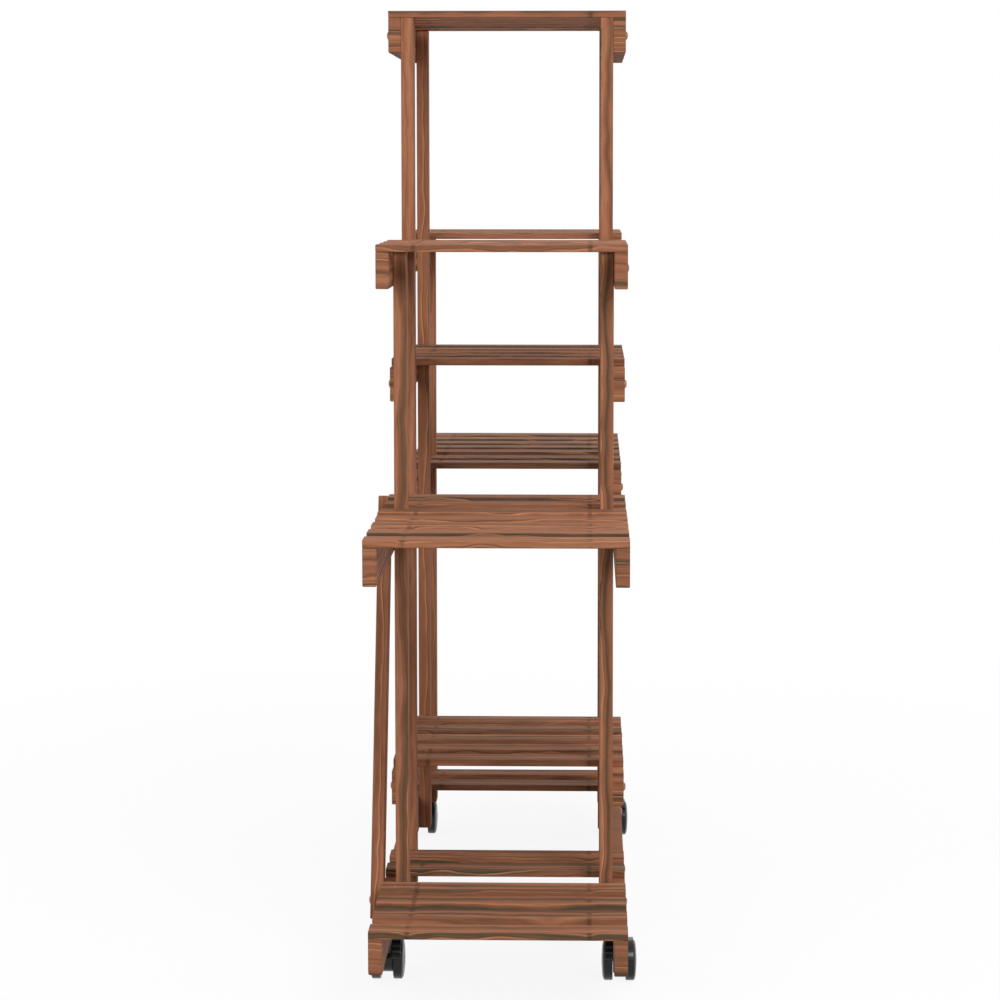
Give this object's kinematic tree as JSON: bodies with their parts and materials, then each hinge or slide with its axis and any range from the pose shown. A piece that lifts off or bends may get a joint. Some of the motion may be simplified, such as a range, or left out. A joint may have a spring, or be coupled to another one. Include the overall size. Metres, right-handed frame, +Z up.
{
  "type": "flower cart stand",
  "caption": "Tiered slatted wooden plant stand on bolted posts with diagonal rear braces, rolling on twin-wheel swivel casters.",
  "frame": {"origin": "on the floor, under the middle of the stand", "axes": "+Z up; Y along the length with the left end at -Y; +X to the open front, away from the braces"},
  "size_m": [0.2712, 0.92, 0.972],
  "materials": {
    "stained_wood": "brown stained softwood with a matt clear coat",
    "bolt": "dark bronze",
    "steel_pin": "zinc plated",
    "caster_body": "black moulded",
    "caster_wheel": "black moulded"
  },
  "bodies": {
    "frame": {"base_rail_front": "stained_wood", "base_rail_rear": "stained_wood", "base_slats_left": "stained_wood", "base_slats_right": "stained_wood", "brace_bolts": "bolt", "brace_left": "stained_wood", "brace_right": "stained_wood", "caster_stems": "steel_pin", "lower_rail_front": "stained_wood", "lower_rail_rear": "stained_wood", "lower_slats": "stained_wood", "middle_rail_front": "stained_wood", "middle_rail_rear": "stained_wood", "middle_slats": "stained_wood", "rail_bolts": "bolt", "side_post_front_left": "stained_wood", "side_post_front_right": "stained_wood", "side_post_rear_left": "stained_wood", "side_post_rear_right": "stained_wood", "side_rail_front_left": "stained_wood", "side_rail_front_right": "stained_wood", "side_rail_rear_left": "stained_wood", "side_rail_rear_right": "stained_wood", "side_slats_left": "stained_wood", "side_slats_right": "stained_wood", "tall_post_front_left": "stained_wood", "tall_post_front_right": "stained_wood", "tall_post_rear_left": "stained_wood", "tall_post_rear_right": "stained_wood", "top_rail_front": "stained_wood", "top_rail_rear": "stained_wood", "top_slats": "stained_wood", "upper_rail_front_left": "stained_wood", "upper_rail_front_right": "stained_wood", "upper_rail_rear_left": "stained_wood", "upper_rail_rear_right": "stained_wood", "upper_slats_left": "stained_wood", "upper_slats_right": "stained_wood"},
    "swivel_front_left": {"caster_hood_front_left": "caster_body", "caster_axle_front_left": "steel_pin"},
    "outer_wheel_front_left": {"outer_wheel_front_left": "caster_wheel"},
    "inner_wheel_front_left": {"inner_wheel_front_left": "caster_wheel"},
    "swivel_front_right": {"caster_hood_front_right": "caster_body", "caster_axle_front_right": "steel_pin"},
    "outer_wheel_front_right": {"outer_wheel_front_right": "caster_wheel"},
    "inner_wheel_front_right": {"inner_wheel_front_right": "caster_wheel"},
    "swivel_rear_left": {"caster_hood_rear_left": "caster_body", "caster_axle_rear_left": "steel_pin"},
    "outer_wheel_rear_left": {"outer_wheel_rear_left": "caster_wheel"},
    "inner_wheel_rear_left": {"inner_wheel_rear_left": "caster_wheel"},
    "swivel_rear_right": {"caster_hood_rear_right": "caster_body", "caster_axle_rear_right": "steel_pin"},
    "outer_wheel_rear_right": {"outer_wheel_rear_right": "caster_wheel"},
    "inner_wheel_rear_right": {"inner_wheel_rear_right": "caster_wheel"}
  },
  "joints": [
    {"name": "swivel_front_left_turn", "type": "hinge", "parent": "frame", "child": "swivel_front_left", "pos_m": [0.1182, -0.2888, 0.0424], "axis": [0, 0, 1], "continuous": true},
    {"name": "outer_wheel_front_left_spin", "type": "hinge", "parent": "swivel_front_left", "child": "outer_wheel_front_left", "pos_m": [0.1182, -0.2718, 0.02], "axis": [1, 0, 0], "continuous": true},
    {"name": "inner_wheel_front_left_spin", "type": "hinge", "parent": "swivel_front_left", "child": "inner_wheel_front_left", "pos_m": [0.1182, -0.2718, 0.02], "axis": [1, 0, 0], "continuous": true},
    {"name": "swivel_front_right_turn", "type": "hinge", "parent": "frame", "child": "swivel_front_right", "pos_m": [0.1182, 0.2888, 0.0424], "axis": [0, 0, 1], "continuous": true},
    {"name": "outer_wheel_front_right_spin", "type": "hinge", "parent": "swivel_front_right", "child": "outer_wheel_front_right", "pos_m": [0.1182, 0.2718, 0.02], "axis": [1, 0, 0], "continuous": true},
    {"name": "inner_wheel_front_right_spin", "type": "hinge", "parent": "swivel_front_right", "child": "inner_wheel_front_right", "pos_m": [0.1182, 0.2718, 0.02], "axis": [1, 0, 0], "continuous": true},
    {"name": "swivel_rear_left_turn", "type": "hinge", "parent": "frame", "child": "swivel_rear_left", "pos_m": [-0.1138, -0.2888, 0.0424], "axis": [0, 0, 1], "continuous": true},
    {"name": "outer_wheel_rear_left_spin", "type": "hinge", "parent": "swivel_rear_left", "child": "outer_wheel_rear_left", "pos_m": [-0.1138, -0.2718, 0.02], "axis": [1, 0, 0], "continuous": true},
    {"name": "inner_wheel_rear_left_spin", "type": "hinge", "parent": "swivel_rear_left", "child": "inner_wheel_rear_left", "pos_m": [-0.1138, -0.2718, 0.02], "axis": [1, 0, 0], "continuous": true},
    {"name": "swivel_rear_right_turn", "type": "hinge", "parent": "frame", "child": "swivel_rear_right", "pos_m": [-0.1138, 0.2888, 0.0424], "axis": [0, 0, 1], "continuous": true},
    {"name": "outer_wheel_rear_right_spin", "type": "hinge", "parent": "swivel_rear_right", "child": "outer_wheel_rear_right", "pos_m": [-0.1138, 0.2718, 0.02], "axis": [1, 0, 0], "continuous": true},
    {"name": "inner_wheel_rear_right_spin", "type": "hinge", "parent": "swivel_rear_right", "child": "inner_wheel_rear_right", "pos_m": [-0.1138, 0.2718, 0.02], "axis": [1, 0, 0], "continuous": true}
  ]
}
